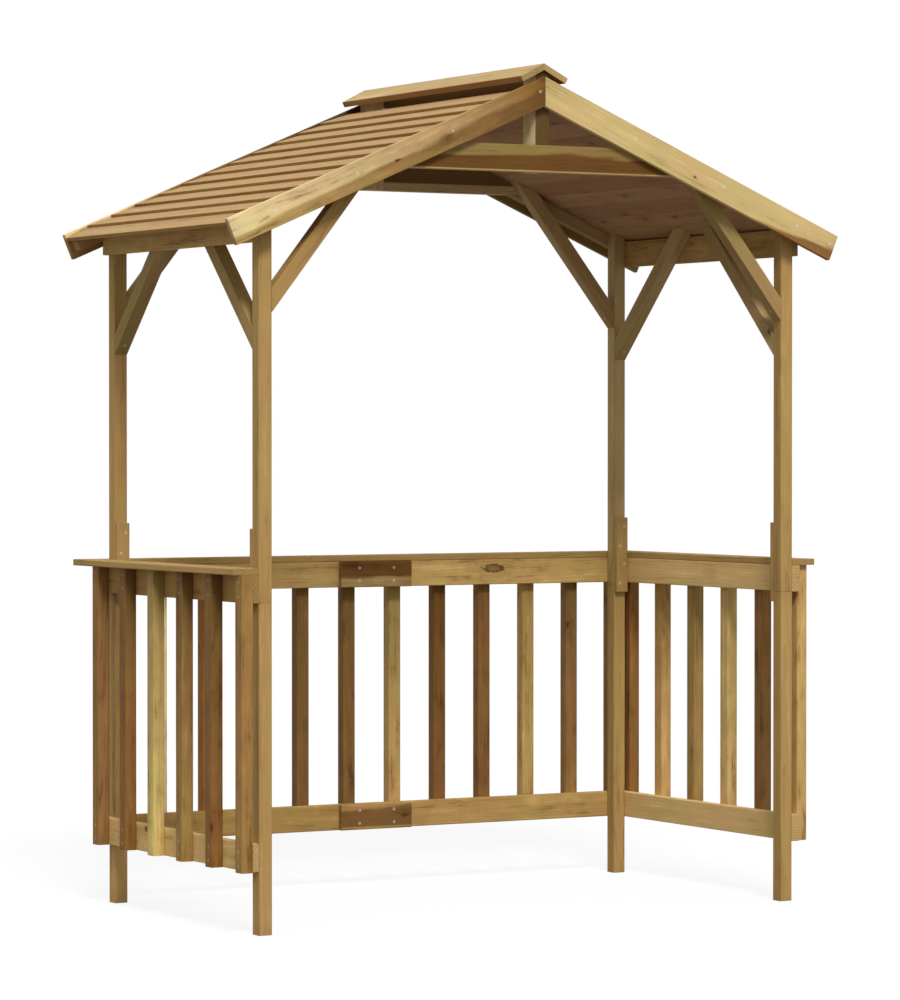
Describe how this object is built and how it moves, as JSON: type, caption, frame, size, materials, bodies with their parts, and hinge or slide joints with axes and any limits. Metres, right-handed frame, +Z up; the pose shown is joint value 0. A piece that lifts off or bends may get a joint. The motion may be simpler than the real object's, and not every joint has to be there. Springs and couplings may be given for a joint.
{
  "type": "barbecue shelter",
  "caption": "Open timber barbecue shelter with a pitched boarded roof, a raised ridge cap, braced posts and a slatted fence with a serving shelf on three sides.",
  "frame": {"origin": "on the ground, under the centre of the shelter's overall box", "axes": "+Z up, +Y towards the back, so that the open side faces -Y, and +X to the right as seen from the open side"},
  "size_m": [2.166, 1.185, 2.6105],
  "materials": {
    "post_timber": "planed softwood, pressure treated",
    "brace_timber": "planed softwood, pressure treated",
    "plate_timber": "planed softwood, dark heartwood",
    "barge_timber": "planed softwood, pressure treated",
    "rail_timber": "planed softwood, pressure treated",
    "pale_timber": "planed softwood, tones vary from piece to piece",
    "capping_timber": "planed softwood, pressure treated",
    "roof_timber": "sawn softwood boards",
    "screw_steel": "zinc-plated screw heads"
  },
  "bodies": {
    "root": {"front_left_leg": "post_timber", "front_right_leg": "post_timber", "back_left_leg": "post_timber", "back_right_leg": "post_timber", "front_left_post": "post_timber", "front_right_post": "post_timber", "back_left_post": "post_timber", "back_right_post": "post_timber", "post_splices": "plate_timber", "left_eaves_beam": "rail_timber", "right_eaves_beam": "rail_timber", "front_left_barge_board": "barge_timber", "front_right_barge_board": "barge_timber", "back_left_barge_board": "barge_timber", "back_right_barge_board": "barge_timber", "gable_rafters": "roof_timber", "front_collar": "barge_timber", "back_collar": "barge_timber", "front_king_post": "brace_timber", "back_king_post": "brace_timber", "front_left_side_brace": "brace_timber", "front_right_side_brace": "brace_timber", "back_left_side_brace": "brace_timber", "back_right_side_brace": "brace_timber", "front_left_gable_brace": "brace_timber", "front_right_gable_brace": "brace_timber", "back_left_gable_brace": "brace_timber", "back_right_gable_brace": "brace_timber", "left_roof_boards": "roof_timber", "right_roof_boards": "roof_timber", "left_ridge_cap": "capping_timber", "right_ridge_cap": "capping_timber", "left_top_rail": "rail_timber", "left_bottom_rail": "rail_timber", "right_top_rail": "rail_timber", "right_bottom_rail": "rail_timber", "back_top_rail": "rail_timber", "back_bottom_rail": "rail_timber", "rail_joint_plates": "plate_timber", "left_shelf": "capping_timber", "right_shelf": "capping_timber", "back_shelf": "capping_timber", "left_pales": "pale_timber", "right_pales": "pale_timber", "back_pales": "pale_timber"}
  },
  "joints": []
}
